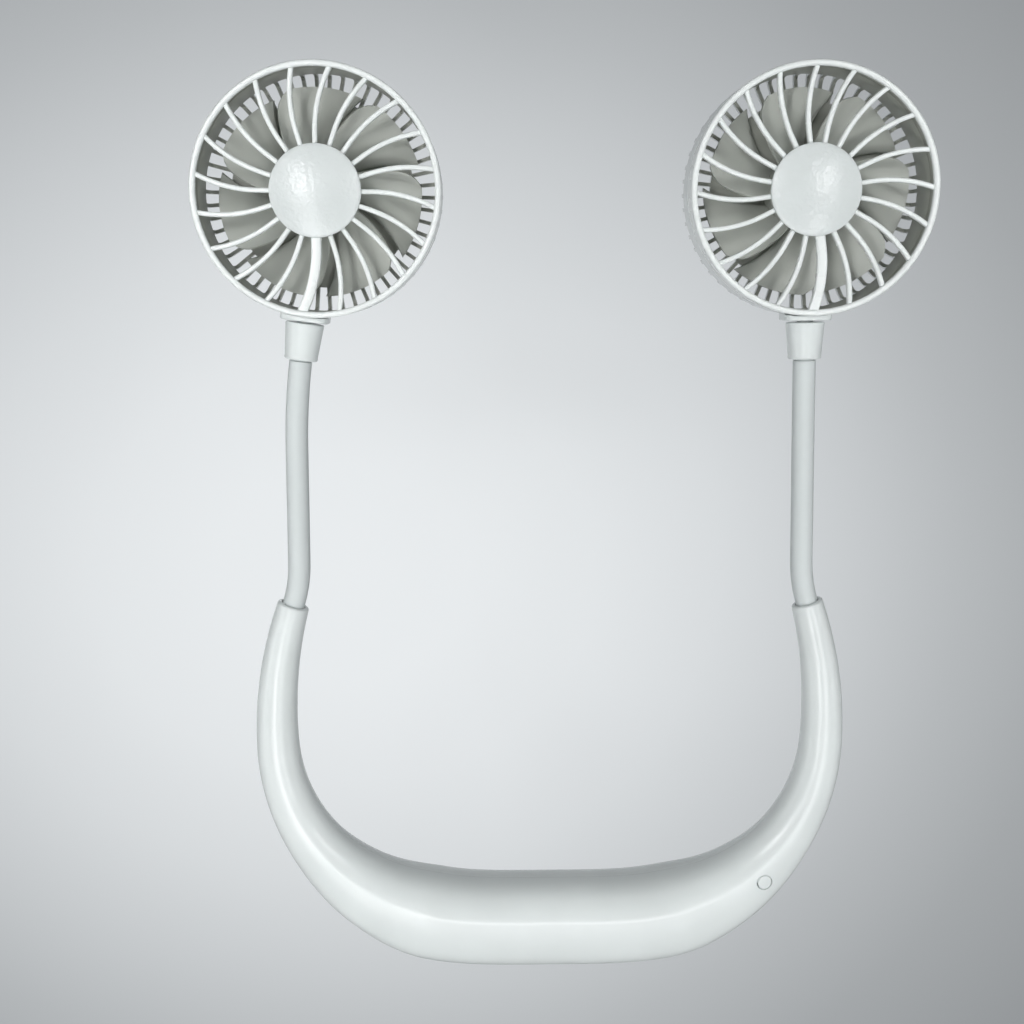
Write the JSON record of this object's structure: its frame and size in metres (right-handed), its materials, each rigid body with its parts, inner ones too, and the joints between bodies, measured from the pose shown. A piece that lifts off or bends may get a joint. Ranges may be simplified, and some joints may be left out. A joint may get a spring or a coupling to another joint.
{
  "type": "neck fan",
  "caption": "Hands-free neck fan: U-shaped neckband with a bendable sleeved stem on each arm, and a round fan head with a swirl grille on each stem.",
  "frame": {"origin": "middle of the band's flat back, on the surface that the fan lies on", "axes": "+Y from the band to the fan heads, +Z the side that the fans blow from, +X to the wearer's button side"},
  "size_m": [0.2278, 0.2953, 0.0251],
  "materials": {
    "shell": "satin moulded plastic, cool white",
    "sleeve": "smooth soft sleeve, matt cool white",
    "impeller": "translucent grey-green moulded plastic",
    "motor": "drawn can, bright",
    "screw": "zinc plated",
    "core": "dull wire",
    "fitting": "turned",
    "bush": "sintered",
    "cell": "shrink sleeve",
    "board": "laminate",
    "switch": "moulded",
    "socket": "stamped shell",
    "lead": "insulated wire"
  },
  "bodies": {
    "band": {"band_front_shell": "shell", "band_rear_shell": "shell", "band_screws": "screw", "battery_cell": "cell", "circuit_board": "board", "tact_switch": "switch", "usb_socket": "socket", "battery_leads": "lead", "motor_leads": "lead", "stem_ferrule_left": "fitting", "core_stub_left": "core", "sleeve_left": "sleeve", "stem_ferrule_right": "fitting", "core_stub_right": "core", "sleeve_right": "sleeve"},
    "button": {"power_button": "shell"},
    "neck_lower_left": {"core_link_1_left": "core"},
    "neck_mid_left": {"core_link_2_left": "core"},
    "neck_upper_left": {"core_link_3_left": "core", "collar_left": "shell", "collar_ferrule_left": "fitting"},
    "head_left": {"rear_cover_left": "shell", "front_grille_left": "shell", "hub_cap_left": "shell", "motor_can_left": "motor", "motor_bush_left": "bush", "swivel_clip_left": "fitting"},
    "rotor_left": {"impeller_left": "impeller", "motor_shaft_left": "core"},
    "neck_lower_right": {"core_link_1_right": "core"},
    "neck_mid_right": {"core_link_2_right": "core"},
    "neck_upper_right": {"core_link_3_right": "core", "collar_right": "shell", "collar_ferrule_right": "fitting"},
    "head_right": {"rear_cover_right": "shell", "front_grille_right": "shell", "hub_cap_right": "shell", "motor_can_right": "motor", "motor_bush_right": "bush", "swivel_clip_right": "fitting"},
    "rotor_right": {"impeller_right": "impeller", "motor_shaft_right": "core"}
  },
  "joints": [
    {"name": "pitch_lower_left", "type": "hinge", "parent": "band", "child": "neck_lower_left", "pos_m": [-0.08281, 0.11575, 0.0115], "axis": [1, 0, 0], "range_deg": [-45, 45], "deforming": ["sleeve_left"]},
    {"name": "sway_left", "type": "hinge", "parent": "neck_lower_left", "child": "neck_mid_left", "pos_m": [-0.08196, 0.14372, 0.0115], "axis": [0, 0, 1], "range_deg": [-30, 30], "deforming": ["sleeve_left"]},
    {"name": "pitch_upper_left", "type": "hinge", "parent": "neck_mid_left", "child": "neck_upper_left", "pos_m": [-0.08166, 0.17676, 0.0115], "axis": [1, 0, 0], "range_deg": [-45, 45], "deforming": ["sleeve_left"]},
    {"name": "swivel_left", "type": "hinge", "parent": "neck_upper_left", "child": "head_left", "pos_m": [-0.07972, 0.19062, 0.0115], "axis": [0.1392, 0.9903, 0], "range_deg": [-90, 90]},
    {"name": "spin_left", "type": "hinge", "parent": "head_left", "child": "rotor_left", "pos_m": [-0.07251, 0.24192, 0.0115], "axis": [0, 0, 1], "continuous": true},
    {"name": "pitch_lower_right", "type": "hinge", "parent": "band", "child": "neck_lower_right", "pos_m": [0.08281, 0.11575, 0.0115], "axis": [1, 0, 0], "range_deg": [-45, 45], "deforming": ["sleeve_right"]},
    {"name": "sway_right", "type": "hinge", "parent": "neck_lower_right", "child": "neck_mid_right", "pos_m": [0.0815, 0.1437, 0.0115], "axis": [0, 0, 1], "range_deg": [-30, 30], "deforming": ["sleeve_right"]},
    {"name": "pitch_upper_right", "type": "hinge", "parent": "neck_mid_right", "child": "neck_upper_right", "pos_m": [0.08064, 0.17669, 0.0115], "axis": [1, 0, 0], "range_deg": [-45, 45], "deforming": ["sleeve_right"]},
    {"name": "swivel_right", "type": "hinge", "parent": "neck_upper_right", "child": "head_right", "pos_m": [0.08035, 0.19068, 0.0115], "axis": [-0.0209, 0.9998, 0], "range_deg": [-90, 90]},
    {"name": "spin_right", "type": "hinge", "parent": "head_right", "child": "rotor_right", "pos_m": [0.07926, 0.24247, 0.0115], "axis": [0, 0, 1], "continuous": true},
    {"name": "power_press", "type": "slide", "parent": "band", "child": "button", "axis": [0, 0, -1], "range_m": [0, 0.0003], "stiffness_N_per_m": 300, "springref_m": -0.001}
  ]
}
